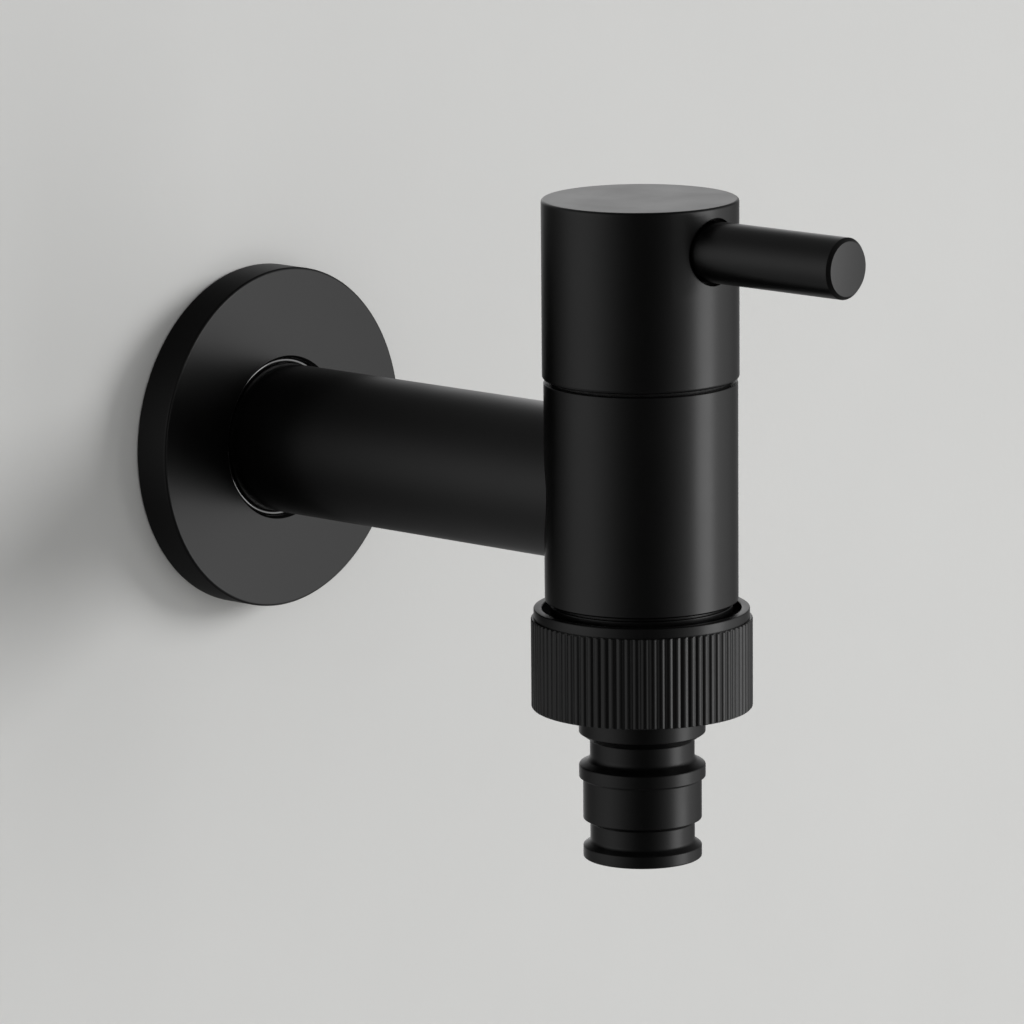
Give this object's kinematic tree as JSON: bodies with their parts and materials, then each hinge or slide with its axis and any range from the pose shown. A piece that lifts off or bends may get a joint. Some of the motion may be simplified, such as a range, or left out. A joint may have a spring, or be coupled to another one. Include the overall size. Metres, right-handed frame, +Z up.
{
  "type": "wall-mounted tap",
  "caption": "Wall-mounted black tap: round rosette and inlet arm, upright barrel with a quarter-turn cap and side lever, ribbed union nut and hose nipple below.",
  "frame": {"origin": "where the inlet arm's axis meets the wall face", "axes": "+Y along the inlet arm into the wall, -Y out from the wall along the closed lever, +Z up along the barrel, +X to the right for someone facing the wall"},
  "size_m": [0.0514, 0.1294, 0.0966],
  "materials": {
    "body_black": "satin black coating on brass",
    "nipple_black": "smoother semi-gloss black coating on brass",
    "seal_rubber": "smooth black rubber",
    "headwork_brass": "turned brass",
    "disc_ceramic": "ground and lapped",
    "bearing_plastic": "natural white plastic",
    "guide_plastic": "black moulded plastic",
    "gasket_fibre": "red-brown pressed fibre",
    "fastener_steel": "plain stainless steel"
  },
  "bodies": {
    "tap_body": {"wall_rosette": "body_black", "rosette_o_ring": "seal_rubber", "inlet_arm": "body_black", "valve_barrel": "body_black", "skirt_guide_ring": "guide_plastic", "bonnet_gasket": "gasket_fibre", "headwork_bonnet": "headwork_brass", "seat_seal": "seal_rubber", "seal_support_ring": "bearing_plastic", "fixed_disc": "disc_ceramic"},
    "handle": {"handle_cap": "body_black", "handle_lever": "body_black", "lever_stud": "fastener_steel", "handle_grub_screw": "fastener_steel", "spindle": "headwork_brass", "moving_disc": "disc_ceramic", "thrust_washer": "bearing_plastic", "stop_ring": "headwork_brass", "spindle_clip": "fastener_steel", "spindle_lower_o_ring": "seal_rubber", "spindle_upper_o_ring": "seal_rubber"},
    "hose_tail": {"hose_nipple": "nipple_black", "union_gasket": "seal_rubber"},
    "nut": {"union_nut": "body_black"}
  },
  "joints": [
    {"name": "handle_turn", "type": "hinge", "parent": "tap_body", "child": "handle", "pos_m": [0, -0.0763, 0], "axis": [0, 0, 1], "range_deg": [0, 90]},
    {"name": "union_travel", "type": "slide", "parent": "tap_body", "child": "hose_tail", "axis": [0, 0, -1], "range_m": [0, 0.00726]},
    {"name": "union_nut_turn", "type": "hinge", "parent": "hose_tail", "child": "nut", "pos_m": [0, -0.0763, 0], "axis": [0, 0, -1], "range_deg": [0, 1440]}
  ],
  "couplings": [
    {"joint": "union_travel", "follows": "union_nut_turn", "m_per_rad": 0.00028871}
  ]
}
